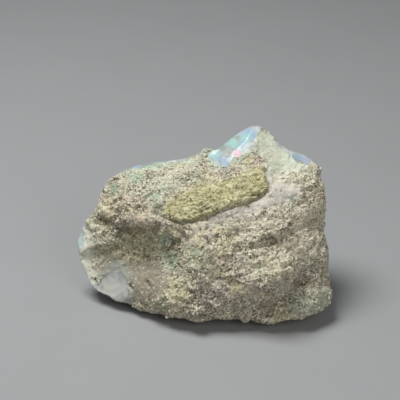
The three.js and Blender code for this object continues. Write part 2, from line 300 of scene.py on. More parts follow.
# Crust is left behind on the back where its noise is above these values, and less of it higher up.
# Between these places on the way right it begins, so that the left tip is bare.
LEFT_BEHIND = (0.22, 0.27)
LEFT_BEHIND_LESS = 0.02
BARE_TIP = (-20.0, -18.0)
# How ragged and how soft the edge between opal and crust is. Patches of bare opal end behind the edge.
OPAL_RAGGED = 0.35
OPAL_SOFT = 0.10
OPAL_FACING = (-0.45, -0.2)

# Smooth noises over the stone: the size of their lumps, the octaves and a seed that sets each apart.
SMOOTH_NOISES = {
    "crust edge": (2.8, 3, 3.0),
    "opal edge": (0.9, 3, 5.0),
    "left behind": (6.0, 3, 8.0),
    "zone edge": (1.0, 3, 12.0),
    "slab edge": (0.8, 3, 15.0),
    "flash edge": (1.1, 3, 21.0),
    "grain patches": (2.2, 3, 33.0),
    "roughness": (4.5, 3, 35.0),
    "swells": (5.0, 2, 40.0),
    "gully edge": (1.2, 3, 70.0),
}
# The crust's layers dip to the left by this angle. Noises that follow them: their sizes along the layers,
# across them and towards the viewer, the octaves and the seed.
LAYER_DIP = radians(16)
LAYER_NOISES = {
    "crags": ((3.4, 2.1, 2.4), 4, 50.0),
    "clefts": ((1.7, 0.8, 1.2), 2, 55.0),
    "plates": ((1.7, 0.8, 1.1), 4, 60.0),
}
# The crust's relief is between these shares of its full height, by its noise, and this share of that at
# the outline, where the surface turns away.
ROUGHNESS = (0.40, 1.10)
OUTLINE_ROUGHNESS = 0.5
OUTLINE_FACING = (0.05, 0.4)
# The noises of crags and plates have this middle. Where they and that of clefts are this low, there are
# valleys, which are painted darker as shade.
CRAG_MIDDLE = 0.4
CRAG_VALLEY = (0.22, 0.06)
CLEFT_VALLEY = (0.10, 0.02)
PLATE_VALLEY = (0.22, 0.08)
PLATE_HEIGHT = 0.75
# How far gullies and ledges wander, and the width of a ledge's step.
GULLY_WANDER = 0.25
LEDGE_WIDTH = 0.2

# Broken faces of the crust: size, share of the full height and seed of the large and the small ones. Their
# edges wander by this share of their size, this quickly and by this seed.
FACETS = ((3.4, 1.0, 80.0), (1.4, 0.5, 90.0))
FACET_WANDER = 0.45
FACET_WANDER_SCALE = 1.6
WANDER_SEED = 3
# Spreads the middles of cells apart, so that neighbours get unlike chance values.
CELL_SHUFFLE = 9.7

# Grains of ash in the crust's relief: how much wider the coarse ones are, how far in from its edge a
# grain is round, how high its dome is, the chance values that make a pit, and a pit's depth.
COARSE_GRAIN = 2.6
COARSE_GRAIN_SEED = 31.0
GRAIN_ROUND = 0.25
COARSE_GRAIN_ROUND = 0.2
DOME_HEIGHT = 0.9
DOME_MIDDLE = 0.6
PIT_CHANCE = (-0.75, -0.95)
COARSE_PIT_CHANCE = (-0.80, -0.95)
COARSE_PIT_EDGE = (0.0, 0.3)
PIT_DEPTH = 4.0
# Smooth crust keeps these shares of the broken faces and of the grains. The slab's share is for its crags
# and broken faces.
CALM_FACETS = 0.25
CALM_GRAINS = 0.12
SLAB_SHARE = 0.5

# Loose grains set in the crust: this many doublings of one grain, the least and greatest width, how
# uneven a grain is along its three own axes, and how high its middle sits in shares of its width. The
# lower the smallness, the more of them are small.
GRAIN_DOUBLINGS = 13
GRAIN_WIDTHS = (0.13, 0.50)
GRAIN_SMALLNESS = 0.35
GRAIN_STRETCH = (0.5, 1.3)
GRAIN_SEATS = (-0.25, 0.15)
GRAIN_SEED = 7
# They lie in patches, where their noise is between these values, few elsewhere and hardly any behind.
GRAIN_PATCHES = (-0.25, 0.35)
GRAINS_BETWEEN = 0.15
GRAINS_BEHIND = 0.04

# The two lamps: name, width and seat in metres.
KEY_LAMP = ("key light", 0.16, (-0.085, 0.03, 0.295))
FRONT_LAMP = ("front light", 0.15, (0.10, -0.17, 0.12))
LIT_POINT = Vector((0, 0, 0.01))
FLOOR_HALF_WIDTH = 4.0
FLOOR_DROP = 0.00004
FLOOR_CLOUDS = 60.0
FLOOR_DARKER = 0.94
FLOOR_ROUGHNESS = 0.7
# Half the width that the camera sees at LOOKED_AT and half the width of its sensor, in millimetres.
SEEN_HALF_WIDTH = 35.8
SENSOR_HALF_WIDTH = 18


def tone(red, green, blue):
    """The linear colour of three display values from 0 to 255."""
    def linear(value):
        share = value / 255
        return share / 12.92 if share <= 0.04045 else ((share + 0.055) / 1.055) ** 2.4
    return tuple(linear(value) for value in (red, green, blue))


FLASH_TONES = {
    "sky": tone(174, 206, 230),
    "mint": tone(178, 228, 220),
    "rose": tone(240, 176, 198),
    "violet": tone(186, 196, 226),
    # Milky white, also used for the painted glints.
    "ice_and_glint": tone(232, 240, 234),
    "green": tone(160, 178, 166),
    "peach": tone(208, 192, 162),
    "milk": tone(222, 223, 214),
}
# The row of tones that the play of colour runs through.
PLAY_TONES = [
    (0.00, tone(168, 196, 228)), (0.22, tone(132, 184, 222)), (0.40, tone(126, 214, 208)),
    (0.56, tone(150, 226, 176)), (0.66, tone(206, 224, 140)), (0.74, tone(244, 190, 140)),
    (0.82, tone(240, 156, 184)), (0.91, tone(188, 172, 226)), (1.00, tone(168, 196, 228)),
]


def length(name, description, millimetres):
    """A size that a user can change, given here in millimetres."""
    return FloatProperty(name=name, description=description, default=millimetres * MM, min=0.0,
                         precision=5, unit="LENGTH")


def colour(name, description, red, green, blue):
    """A colour that a user can change, given here as display values from 0 to 255."""
    return FloatVectorProperty(name=name, description=description, default=tone(red, green, blue),
                               size=3, min=0.0, max=1.0, subtype="COLOR")


class StoneSizes(bpy.types.PropertyGroup):
    """Sizes of the stone's own surface."""
    grid: length("Grid", "Spacing of the stone's points, twice as close together on its front", 0.37)
    crust: length("Crust", "How far the ash crust stands out from the bare opal", 0.14)
    swell: length("Swells", "Height of the crust's broad swells", 0.35)
    crag: length("Crags", "Height of the crust's crags", 1.05)
    cleft: length("Clefts", "Depth of the crust's short narrow clefts", 0.22)
    facet: length("Facets", "Height of the crust's small broken faces", 0.38)
    grain_size: length("Grain size", "Width of one grain of ash", 0.30)
    grain_height: length("Grain height", "How far a grain stands out", 0.045)
    slab: length("Slab", "How far the tuff slab stands out from the crust", 0.38)
    vein: length("Vein", "How far the smooth lilac band stands out from the crust", 0.18)


class StoneColours(bpy.types.PropertyGroup):
    """Colours of the crust, the slab and the opal."""
    ash: colour("Ash", "The crust's main colour", 218, 210, 185)
    ash_green: colour("Green ash", "The crust's greener blotches", 194, 202, 170)
    pale: colour("Pale ash", "The smooth lighter crust along the left edge", 238, 238, 222)
    # Painted light inside the left edge.
    left_painted_light: colour("Painted light at the left", "The lighter grainy crust inside the left edge", 240, 236, 214)
    light: colour("Light ash", "The lighter crust right of the middle", 230, 220, 197)
    # Painted shade along the foot.
    lower_shade: colour("Shade along the foot", "The darker crust along the foot", 172, 167, 144)
    haze: colour("Haze", "The smooth grey veil beside the opal at the lower left", 168, 170, 160)
    mauve: colour("Mauve ash", "The darker mauve crust low in the middle", 172, 166, 156)
    sage: colour("Sage ash", "The greener crust of the upper left and the left edge", 214, 217, 192)
    # Partly the crust's olive tint and partly painted shade in the hollow.
    olive: colour("Olive ash and hollow shade", "The darker crust in the hollow at the left", 192, 188, 152)
    ash_pink: colour("Pink ash", "The crust's pinker blotches", 216, 198, 182)
    ash_yellow: colour("Yellow ash", "The crust's yellower blotches", 226, 216, 176)
    foot: colour("Foot", "The smooth greenish crust at the lower right", 178, 184, 164)
    grain_light: colour("Light grains", "The palest grains of the crust", 246, 243, 224)
    # Also the colour of the painted shade in pits, gullies and valleys.
    dark_grains_and_shade: colour("Dark grains", "The darkest grains and pits of the crust", 104, 97, 74)
    brown: colour("Brown ash", "The browner patch at the left", 212, 196, 168)
    cream: colour("Cream ash", "The paler patch under the peak", 240, 238, 213)
    lilac: colour("Lilac band", "The smooth pale band under the slab", 206, 202, 194)
    porcelain: colour("Porcelain", "The smooth face right of the peak", 202, 209, 188)
    peach: colour("Peach ash", "The warm strip along the top left rim", 226, 216, 182)
    grey: colour("Grey glaze", "The smoother grey crust beside the opal at the lower left", 138, 130, 115)
    green: colour("Green tint", "Faint green spots where opal shows through", 168, 202, 176)
    glaze: colour("Glaze", "The thin crust beside bare opal, through which the opal shows", 204, 222, 200)
    tuff: colour("Tuff", "The slab's main colour", 204, 198, 150)
    tuff_light: colour("Light tuff", "The slab's pale grains", 232, 226, 184)
    tuff_dark: colour("Dark tuff", "The slab's dark grains and pits", 122, 114, 70)
    opal: colour("Opal", "The body of the bare opal", 216, 224, 222)
    clouds: colour("Clouds", "The duller clouds in the opal", 138, 130, 115)


class StageSizes(bpy.types.PropertyGroup):
    """The floor, the lights and the camera."""
    lens: FloatProperty(name="Lens", description="The camera's focal length in millimetres",
                        default=SENSOR_HALF_WIDTH * VIEWER_DISTANCE / SEEN_HALF_WIDTH, min=10.0,
                        unit="CAMERA")
    floor: colour("Floor", "The plain floor", 158, 159, 160)
    key_power: FloatProperty(name="Key light", description="Power of the soft overhead light in watts",
                             default=0.92, min=0.0, unit="POWER")
    front_power: FloatProperty(name="Front light", description="Power of the weak light in front in watts",
                               default=0.13, min=0.0, unit="POWER")
    fill: FloatProperty(name="Fill light", description="Strength of the even light from all round",
                        default=0.11, min=0.0)


def read(items, name, width=3):
    """A property of every item as an array."""
    values = np.empty(len(items) * width, np.float32)
    items.foreach_get(name, values)
    return values.reshape(-1, width).astype(float) if width > 1 else values.astype(float)


def smooth(value, low, high):
    """0 below low, 1 above high and an even rise between them. Low may be the larger."""
    share = np.clip((value - low) / (high - low), 0, 1)
    return share * share * (3 - 2 * share)


def between(share, low, high):
    """The value at this share of the way from low to high."""
    return low + (high - low) * share


def seen_from(places):
    """Where the viewer sees places in millimetres: how far right, how far up and how near."""
    offset = places - LOOKED_AT
    near = offset @ TO_VIEWER
    enlarged = VIEWER_DISTANCE / (VIEWER_DISTANCE - near)
    return (offset @ TO_RIGHT) * enlarged, (offset @ TO_UP) * enlarged, near


def seed_shift(seed):
    """Moves a noise to a part of its own by its seed."""
    return Vector((seed, 1.7 * seed, -seed))


class Surface:
    """The points of a mesh as arrays in millimetres, and where the viewer sees each of them."""

    def __init__(self, mesh):
        self.places = read(mesh.vertices, "co") / MM
        self.normals = read(mesh.vertex_normals, "vector")
        self.right, self.up, self.near = seen_from(self.places)
        self.facing = self.normals @ TO_VIEWER
        self.front = smooth(self.facing, *FRONT_FACING)

    def smooth_noise(self, name):
        """Smooth lumps and hollows, from about -1 to 1."""
        size, octaves, seed = SMOOTH_NOISES[name]
        shift = seed_shift(seed)
        return np.array([noise.fractal(Vector(place) / size + shift, 0.9, 2.0, octaves)
                         for place in self.places])

    def layer_noise(self, name):
        """Rounded heights with sharp valleys between them, from 0 to about 1, that follow the layers."""
        sizes, octaves, seed = LAYER_NOISES[name]
        along = self.right * cos(LAYER_DIP) + self.up * sin(LAYER_DIP)
        across = self.up * cos(LAYER_DIP) - self.right * sin(LAYER_DIP)
        layered = np.stack((along, across, self.near), axis=1) / sizes
        shift = seed_shift(seed)
        return np.array([noise.turbulence(Vector(place) + shift, octaves, True) for place in layered])

    def facets(self, size, seed):
        """Heights of small broken faces, each with a level and a lean of its own, from about -1 to 1."""
        shift = seed_shift(seed)
        heights = np.empty(len(self.places))
        for index, place in enumerate(self.places):
            spot = Vector(place) / size + shift
            spot += FACET_WANDER * noise.noise_vector(spot * FACET_WANDER_SCALE)
            centre = noise.voronoi(spot)[1][0]
            lean = noise.cell_vector(centre * CELL_SHUFFLE) - Vector((0.5, 0.5, 0.5))
            heights[index] = 0.5 * noise.cell(centre * CELL_SHUFFLE) + 2 * (spot - centre).dot(lean)
        return heights

    def grains(self, size, seed=0.0):
        """The chance value of each point's grain, from -1 to 1, and how far in from its edge it lies."""
        shift = seed_shift(seed)
        values = np.empty(len(self.places))
        depths = np.empty(len(self.places))
        for index, place in enumerate(self.places):
            distances, centres = noise.voronoi(Vector(place) / size + shift)
            values[index] = noise.cell(centres[0] * CELL_SHUFFLE)
            depths[index] = distances[1] - distances[0]
        return values, depths

    def from_spot(self, spot):
        """How far each point is seen from a spot."""
        return np.hypot(self.right - spot[0], self.up - spot[1])

    def outside(self, outline):
        """How far each point is seen outside an outline. It is below 0 inside."""
        nearest = np.full(len(self.right), np.inf)
        inside = np.zeros(len(self.right), bool)
        for start, end in zip(outline, outline[1:] + outline[:1]):
            nearest = np.minimum(nearest, self.from_line(start, end)[0])
            if start[1] != end[1]:
                level = (start[1] > self.up) != (end[1] > self.up)
                crossing = start[0] + (self.up - start[1]) * (end[0] - start[0]) / (end[1] - start[1])
                inside ^= level & (self.right < crossing)
        return np.where(inside, -nearest, nearest)

    def from_line(self, start, end):
        """How far each point is seen from a straight line, and its side: 1 for left, -1 for right."""
        along = np.array(end) - np.array(start)
        offset = np.stack((self.right - start[0], self.up - start[1]), axis=1)
        share = np.clip(offset @ along / (along @ along), 0, 1)
        away = offset - share[:, None] * along
        side = np.sign(along[0] * offset[:, 1] - along[1] * offset[:, 0])
        return np.hypot(away[:, 0], away[:, 1]), side

    def from_path(self, path):
        """How far each point is seen from a path of straight lines, and on which side of it."""
        nearest = np.full(len(self.right), np.inf)
        sides = np.zeros(len(self.right))
        for start, end in zip(path, path[1:]):
            distance, side = self.from_line(start, end)
            closer = distance < nearest
            nearest[closer] = distance[closer]
            sides[closer] = side[closer]
        return nearest, sides


def save(mesh, name, values):
    """Keeps a value for each point as an attribute that materials read."""
    attribute = mesh.attributes.new(name, "FLOAT", "POINT")
    attribute.data.foreach_set("value", values.astype(np.float32))


def saved(mesh, name):
    """The value of each point that save kept."""
    values = np.empty(len(mesh.vertices), np.float32)
    mesh.attributes[name].data.foreach_get("value", values)
    return values


def new_piece(name, bm):
    """Turns a bmesh into an object in the scene."""
    mesh = bpy.data.meshes.new(name)
    bm.to_mesh(mesh)
    bm.free()
    piece = bpy.data.objects.new(name, mesh)
    bpy.context.scene.collection.objects.link(piece)
    return piece


def even_grid(piece, spacing):
    """Gives a closed piece an even grid of faces."""
    remesh = piece.modifiers.new("Even grid", "REMESH")
    remesh.mode = "VOXEL"
    remesh.voxel_size = spacing
    evaluated = piece.evaluated_get(bpy.context.evaluated_depsgraph_get())
    mesh = bpy.data.meshes.new_from_object(evaluated)
    piece.modifiers.clear()
    plain = piece.data
    piece.data = mesh
    bpy.data.meshes.remove(plain)
    mesh.name = piece.name


def start_stone(spacing):
    """A copy of the solid, its loose triangles merged, with an even grid of faces, finer on its front."""
    bm = bmesh.new()
    bm.from_mesh(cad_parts[SOLID].data)
    bmesh.ops.remove_doubles(bm, verts=bm.verts, dist=MERGE_DISTANCE)
    stone = new_piece(STONE_PIECE, bm)
    even_grid(stone, spacing)
    bm = bmesh.new()
    bm.from_mesh(stone.data)
    bm.normal_update()
    viewer = Vector(TO_VIEWER)
    front = [face for face in bm.faces if face.normal.dot(viewer) > FINE_FACING]
    edges = list({edge for face in front for edge in face.edges})
    bmesh.ops.subdivide_edges(bm, edges=edges, cuts=1, use_grid_fill=True)
    bm.to_mesh(stone.data)
    bm.free()
    return stone


def break_shells(stone):
    """Breaks the curved shells out of the stone, each as a bite of a large ball that stands outside it."""
    bm = bmesh.new()
    bm.from_mesh(stone.data)
    tree = BVHTree.FromBMesh(bm)
    bm.free()
    bites = []
    eye = LOOKED_AT + TO_VIEWER * VIEWER_DISTANCE
    for place, width, depth, facing in FRONT_SHELLS:
        target = LOOKED_AT + TO_RIGHT * place[0] + TO_UP * place[1]
        hit = tree.ray_cast(Vector(eye * MM), Vector(target - eye).normalized())[0]
        normal = TO_RIGHT * facing[0] + TO_UP * facing[1] + TO_VIEWER * facing[2]
        bites.append((np.array(hit) / MM, normal / np.linalg.norm(normal), width, depth))
    for place, width, depth in BACK_SHELLS:
        behind = LOOKED_AT + TO_RIGHT * place[0] + TO_UP * place[1] - TO_VIEWER * VIEWER_DISTANCE
        hit, normal, _, _ = tree.ray_cast(Vector(behind * MM), Vector(TO_VIEWER))
        if hit is not None:
            bites.append((np.array(hit) / MM, np.array(normal), width, depth))
    places = read(stone.data.vertices, "co") / MM
    for middle, normal, width, depth in bites:
        radius = (width * width / 4 + depth * depth) / (2 * depth)
        ball = middle + normal * (radius - depth)
        offset = places - ball
        distance = np.linalg.norm(offset, axis=1)
        from_strike = np.linalg.norm(places - (middle + np.array((0, 0, width / 2))), axis=1)
        ripple = SHELL_RIPPLE * np.sin(from_strike * 2 * pi / SHELL_RIPPLE_SPACING)
        bitten = (distance < radius) & (np.linalg.norm(places - middle, axis=1) < width)
        places[bitten] = ball + offset[bitten] * ((radius + ripple[bitten]) / distance[bitten])[:, None]
    write_places(stone.data, places)


def write_places(mesh, places):
    """Puts a mesh's points at places in millimetres, none below the surface that the stone rests on."""
    places[:, 2] = np.maximum(places[:, 2], 0)
    mesh.vertices.foreach_set("co", (places * MM).astype(np.float32).ravel())
    mesh.update()


def crust_cover(surface):
    """1 where the ash crust covers the stone and 0 where the opal is bare."""
    out = np.degrees(np.arctan2(surface.up - HEART[1], surface.right - HEART[0]))
    end = np.interp(out, list(CRUST_ENDS), list(CRUST_ENDS.values()), period=360)
    wander = surface.smooth_noise("crust edge")
    cover = smooth(surface.facing - end + CRUST_WANDER * wander, -CRUST_SOFT, CRUST_SOFT)
    height = surface.places[:, 2]
    left_behind = smooth(surface.smooth_noise("left behind") - LEFT_BEHIND_LESS * height, *LEFT_BEHIND)
    left_behind *= smooth(surface.right, *BARE_TIP)
    cover = np.maximum(cover, left_behind)
    ragged = surface.smooth_noise("opal edge")
    bare = np.zeros(len(cover))
    for outline in OPAL_PATCHES.values():
        away = surface.outside(outline) + OPAL_RAGGED * ragged
        bare = np.maximum(bare, smooth(away, OPAL_SOFT, -OPAL_SOFT))
    return cover * (1 - bare * smooth(surface.facing, *OPAL_FACING))


def slab_cover(surface, crust):
    """1 where the tuff slab lies on the crust: crisp at its step and soft and ragged away from it."""
    ragged = surface.smooth_noise("slab edge")
    far = 1 - np.exp(-(surface.from_path(SLAB_STEP)[0] / SLAB_CRISP_REACH) ** 2)
    soft = between(far, *SLAB_SOFT)
    slab = smooth(surface.outside(TUFF_SLAB) + between(far, *SLAB_RAGGED) * ragged, soft, -soft)
    return slab * (surface.front * crust)


def zone_masks(surface):
    """A mask for each tinted zone of the crust, one for its green spots and one for its glaze."""
    ragged = surface.smooth_noise("zone edge")
    masks = {}
    for name, (outline, soft, wander) in CRUST_ZONES.items():
        away = surface.outside(outline) + wander * ragged
        masks[name] = smooth(away, soft, -soft) * surface.front
    green = np.zeros(len(ragged))
    for spot, reach in GREEN_SPOTS:
        away = surface.from_spot(spot) / reach + GREEN_RAGGED * ragged
        green = np.maximum(green, smooth(away, *GREEN_FADE))
    masks["green"] = green * surface.front
    beside = np.full(len(ragged), np.inf)
    for outline in OPAL_PATCHES.values():
        beside = np.minimum(beside, surface.outside(outline))
    masks["glaze"] = smooth(beside + GLAZE_RAGGED * ragged, *GLAZE_FADE) * surface.front
    return masks


def flash_colours(surface):
    """The colour of the flashes and painted glints in the bare opal, with their strength as the fourth
    value.
    """
    ragged = surface.smooth_noise("flash edge")
    colours = np.zeros((len(ragged), 4))
    for spot, reach, name in FLASHES:
        away = surface.from_spot(spot) / reach + FLASH_RAGGED * ragged
        strength = FLASH_STRENGTH * smooth(away, *FLASH_FADE) * smooth(surface.facing, *FLASH_FACING)
        colours[:, :3] += (np.array(FLASH_TONES[name]) - colours[:, :3]) * strength[:, None]
        colours[:, 3] = np.maximum(colours[:, 3], strength)
    return colours


def grain_cover(surface, crust, masks):
    """How likely loose grains are: in patches of the rough crust, and hardly any on the back."""
    grainless = np.zeros(len(crust))
    for name, share in GRAINLESS.items():
        grainless = np.maximum(grainless, share * masks[name])
    patchy = between(smooth(surface.smooth_noise("grain patches"), *GRAIN_PATCHES), GRAINS_BETWEEN, 1)
    return crust * between(surface.front, GRAINS_BEHIND, 1) * (1 - grainless) * patchy


def gullies_and_ledges(surface):
    """How deep the front's gullies are and how high its ledges stand, seen through the whole stone."""
    gullies = np.zeros(len(surface.places))
    ledges = np.zeros(len(surface.places))
    wander = GULLY_WANDER * surface.smooth_noise("gully edge")
    for path, width, depth in GULLIES:
        away = surface.from_path(path)[0] + wander
        gullies = np.maximum(gullies, depth * np.exp(-(away / width) ** 2))
    for path, height, reach in LEDGES:
        away, side = surface.from_path(path)
        step = np.tanh((away * side + wander) / LEDGE_WIDTH)
        ledges += height / 2 * step * np.exp(-((away / reach) ** 2))
    return gullies, ledges


def grain_relief(surface, grain_size):
    """Heights of the grains of ash, their chance values and a mask of the pits between them."""
    values, depths = surface.grains(grain_size)
    coarse_values, coarse_depths = surface.grains(COARSE_GRAIN * grain_size, COARSE_GRAIN_SEED)
    domes = np.minimum(depths / GRAIN_ROUND, 1) - DOME_MIDDLE
    pits = smooth(values, *PIT_CHANCE)
    pits += smooth(coarse_values, *COARSE_PIT_CHANCE) * smooth(coarse_depths, *COARSE_PIT_EDGE)
    coarse = coarse_values * np.minimum(coarse_depths / COARSE_GRAIN_ROUND, 1)
    return values + DOME_HEIGHT * domes + coarse - PIT_DEPTH * pits, values, pits


def model_relief(surface, sizes, crust, slab, masks):
    """How far each point moves out in millimetres, its grain's chance value and its painted shade in
    recesses.
    """
    calm = np.zeros(len(crust))
    for name, share in ZONE_CALM.items():
        calm = np.maximum(calm, share * masks[name])
    uneven = between((np.clip(2 * surface.smooth_noise("roughness"), -1, 1) + 1) / 2, *ROUGHNESS)
    rough = crust * (1 - calm) * np.maximum(uneven, masks["brown"])
    rough *= between(smooth(surface.facing, *OUTLINE_FACING), OUTLINE_ROUGHNESS, 1)
    slab_share = between(slab, 1, SLAB_SHARE)
    crags = surface.layer_noise("crags")
    cleft = smooth(surface.layer_noise("clefts"), *CLEFT_VALLEY)
    facets = sum(share * surface.facets(size, seed) for size, share, seed in FACETS)
    grains, values, pits = grain_relief(surface, sizes.grain_size / MM)
    gullies, ledges = gullies_and_ledges(surface)
    relief = (crust - 1) * sizes.crust / MM + crust * sizes.swell / MM * surface.smooth_noise("swells")
    relief += rough * sizes.crag / MM * (crags - CRAG_MIDDLE) * slab_share
    relief -= rough * sizes.cleft / MM * cleft
    relief += np.maximum(rough, CALM_FACETS * crust) * sizes.facet / MM * facets * slab_share
    relief += (rough + CALM_GRAINS * crust * calm) * sizes.grain_height / MM * grains
    relief += (ledges - gullies) * surface.front

    plates = surface.layer_noise("plates")
    near_step = np.exp(-(surface.from_path(SLAB_STEP)[0] / SLAB_STEP_REACH) ** 2)
    relief += masks["lilac"] * (1 - slab) * sizes.vein / MM
    relief += slab * (between(near_step, SLAB_FLUSH_SHARE, 1) * sizes.slab / MM)
    relief += slab * PLATE_HEIGHT * (plates - CRAG_MIDDLE)
    valleys = smooth(crags, *CRAG_VALLEY) + cleft + slab * smooth(plates, *PLATE_VALLEY)
    # Painted shade: darker the deeper a point lies in a pit, gully or valley.
    shade_in_recesses = np.clip(0.5 * pits + gullies + 0.8 * valleys, 0, 1) * np.maximum(rough, slab)
    return relief, values, shade_in_recesses


def face_means(mesh, values):
    """The mean over each face of a value that each point has."""
    points = np.empty(len(mesh.loops), np.int32)
    mesh.loops.foreach_get("vertex_index", points)
    starts = np.empty(len(mesh.polygons), np.int32)
    mesh.polygons.foreach_get("loop_start", starts)
    totals = np.empty(len(mesh.polygons), np.int32)
    mesh.polygons.foreach_get("loop_total", totals)
    return np.add.reduceat(values[points], starts) / totals


def feed(tree, socket, value):
    """Sets a socket to a value, or links another node's output to it."""
    if isinstance(value, bpy.types.NodeSocket):
        tree.links.new(value, socket)
    else:
        socket.default_value = value


def node(tree, kind, inputs=None, **properties):
    """A new node with its properties, and with values or links for its inputs."""
    made = tree.nodes.new(kind)
    for name, value in properties.items():
        setattr(made, name, value)
    for name, value in (inputs or {}).items():
        feed(tree, made.inputs[name], value)
    return made


def mixed(tree, share, first, second):
    """One colour laid over another."""
    made = node(tree, "ShaderNodeMix", data_type="RGBA", clamp_factor=True)
    for place, value in zip((0, 6, 7), (share, first, second)):
        feed(tree, made.inputs[place], value)
    return made.outputs[2]


def sums(tree, operation, first, second, clamp=False):
    """The result of one sum on two numbers."""
    made = node(tree, "ShaderNodeMath", {0: first, 1: second}, operation=operation, use_clamp=clamp)
    return made.outputs[0]


def product(tree, first, second):
    """Two numbers multiplied."""
    return sums(tree, "MULTIPLY", first, second)


def moved(tree, operation, first, second):
    """The result of one sum on two places."""
    return node(tree, "ShaderNodeVectorMath", {0: first, 1: second}, operation=operation).outputs[0]


def noise_node(tree, place, scale, detail, **inputs):
    """A cloudy noise."""
    given = {"Vector": place, "Scale": scale, "Detail": detail}
    given.update(inputs)
    return node(tree, "ShaderNodeTexNoise", given).outputs


def own_place(tree):
    """A point's place in the piece's own frame."""
    return node(tree, "ShaderNodeTexCoord").outputs["Object"]


def tone_ramp(tree, share, stops):
    """A colour picked by a number from a row of tones."""
    ramp = node(tree, "ShaderNodeValToRGB", {"Fac": share})
    elements = ramp.color_ramp.elements
    while len(elements) < len(stops):
        elements.new(0.5)
    for element, (position, value) in zip(elements, stops):
        element.position = position
        element.color = opaque(value)
    return ramp.outputs["Color"]


def ranged(tree, value, low, high, to_low=0.0, to_high=1.0):
    """A number brought from one range into another, with soft ends."""
    inputs = {"Value": value, "From Min": low, "From Max": high, "To Min": to_low, "To Max": to_high}
    return node(tree, "ShaderNodeMapRange", inputs, interpolation_type="SMOOTHSTEP").outputs["Result"]


def mask(tree, name):
    """A mask that the stone's points carry."""
    return node(tree, "ShaderNodeAttribute", attribute_name=name, attribute_type="GEOMETRY").outputs["Fac"]


def opaque(value):
    """A colour with its fourth value."""
    return (*value, 1.0)


def new_group(name, inputs, outputs):
    """An empty shader node group with its sockets."""
    tree = bpy.data.node_groups.new(name, "ShaderNodeTree")
    for label, kind, value in inputs:
        socket = tree.interface.new_socket(name=label, in_out="INPUT", socket_type=kind)
        socket.default_value = value
    for label, kind in outputs:
        tree.interface.new_socket(name=label, in_out="OUTPUT", socket_type=kind)
    return tree, node(tree, "NodeGroupInput").outputs, node(tree, "NodeGroupOutput")


def group_node(tree, group, inputs=None):
    """A node group placed in a material with its own values."""
    return node(tree, "ShaderNodeGroup", inputs, node_tree=group).outputs


def speckle_group():
    """Fine mineral grains: masks of the light and the dark ones, and their height."""
    tree, given, result = new_group(
        "Mineral speckle",
        [("Scale", "NodeSocketFloat", 2600.0), ("Light Share", "NodeSocketFloat", 0.3),
         ("Dark Share", "NodeSocketFloat", 0.2)],
        [("Light", "NodeSocketFloat"), ("Dark", "NodeSocketFloat"), ("Height", "NodeSocketFloat")])
    grains = node(tree, "ShaderNodeTexVoronoi", {"Vector": own_place(tree), "Scale": given["Scale"]})
    chance = node(tree, "ShaderNodeSeparateColor", {"Color": grains.outputs["Color"]}).outputs[0]
    light_from = sums(tree, "SUBTRACT", 1.0, given["Light Share"])
    light = sums(tree, "SUBTRACT", chance, light_from)
    dark = sums(tree, "SUBTRACT", given["Dark Share"], chance)
    dome = sums(tree, "SUBTRACT", 1.0, grains.outputs["Distance"])
    feed(tree, result.inputs["Light"], ranged(tree, light, -SPECKLE_SOFT, SPECKLE_SOFT))
    feed(tree, result.inputs["Dark"], ranged(tree, dark, -SPECKLE_SOFT, SPECKLE_SOFT))
    feed(tree, result.inputs["Height"], sums(tree, "ADD", dome, chance))
    return tree


def blotch_group():
    """Broad soft blotches, as a mask."""
    tree, given, result = new_group(
        "Soft blotches",
        [("Scale", "NodeSocketFloat", 220.0), ("Offset", "NodeSocketVector", (0.0, 0.0, 0.0)),
         ("Cover", "NodeSocketFloat", 0.5)],
        [("Mask", "NodeSocketFloat")])
    place = moved(tree, "ADD", own_place(tree), given["Offset"])
    clouds = noise_node(tree, place, given["Scale"], 4.0, Roughness=0.6)["Fac"]
    bare = sums(tree, "SUBTRACT", 1.0, given["Cover"])
    shifted = sums(tree, "SUBTRACT", clouds, product(tree, bare, BLOTCH_MOVE))
    feed(tree, result.inputs["Mask"], ranged(tree, shifted, *BLOTCH_ENDS))
    return tree


def play_group():
    """The opal's play of colour: pastel patches with soft edges, and how strongly they show."""
    tree, given, result = new_group(
        "Play of colour",
        [("Scale", "NodeSocketFloat", 420.0), ("Cover", "NodeSocketFloat", 0.5),
         ("Patches", "NodeSocketFloat", 0.3)],
        [("Color", "NodeSocketColor"), ("Strength", "NodeSocketFloat")])
    place = own_place(tree)
    scale = given["Scale"]
    bend = moved(tree, "SUBTRACT", noise_node(tree, place, scale, 2.0)["Color"], (0.5, 0.5, 0.5))
    bent = moved(tree, "ADD", place, moved(tree, "MULTIPLY", bend, PLAY_BEND))
    cells = node(tree, "ShaderNodeTexVoronoi", {"Vector": bent, "Scale": scale})
    inside = node(tree, "ShaderNodeTexVoronoi", {"Vector": bent, "Scale": scale},
                  feature="DISTANCE_TO_EDGE").outputs["Distance"]
    chances = node(tree, "ShaderNodeSeparateColor", {"Color": cells.outputs["Color"]}).outputs
    drift = noise_node(tree, place, product(tree, scale, PLAY_DRIFT_FINENESS), 1.5, Distortion=0.6)["Fac"]
    drift = product(tree, drift, PLAY_DRIFT)
    hue = sums(tree, "ADD", drift, product(tree, chances[0], given["Patches"]))
    feed(tree, result.inputs["Color"], tone_ramp(tree, sums(tree, "FRACT", hue, 0.0), PLAY_TONES))
    sheen = noise_node(tree, place, product(tree, scale, PLAY_SHEEN_FINENESS), 2.0)["Fac"]
    level = sums(tree, "ADD", sheen, product(tree, chances[1], PLAY_CHANCE))
    shown = ranged(tree, sums(tree, "ADD", level, given["Cover"]), *PLAY_SHOWN)
    feed(tree, result.inputs["Strength"], product(tree, shown, ranged(tree, inside, 0.0, PLAY_EDGE)))
    return tree


def new_material(name):
    """A material with its surface shader."""
    material = bpy.data.materials.new(name)
    material.use_nodes = True
    return material, material.node_tree, material.node_tree.nodes["Principled BSDF"]


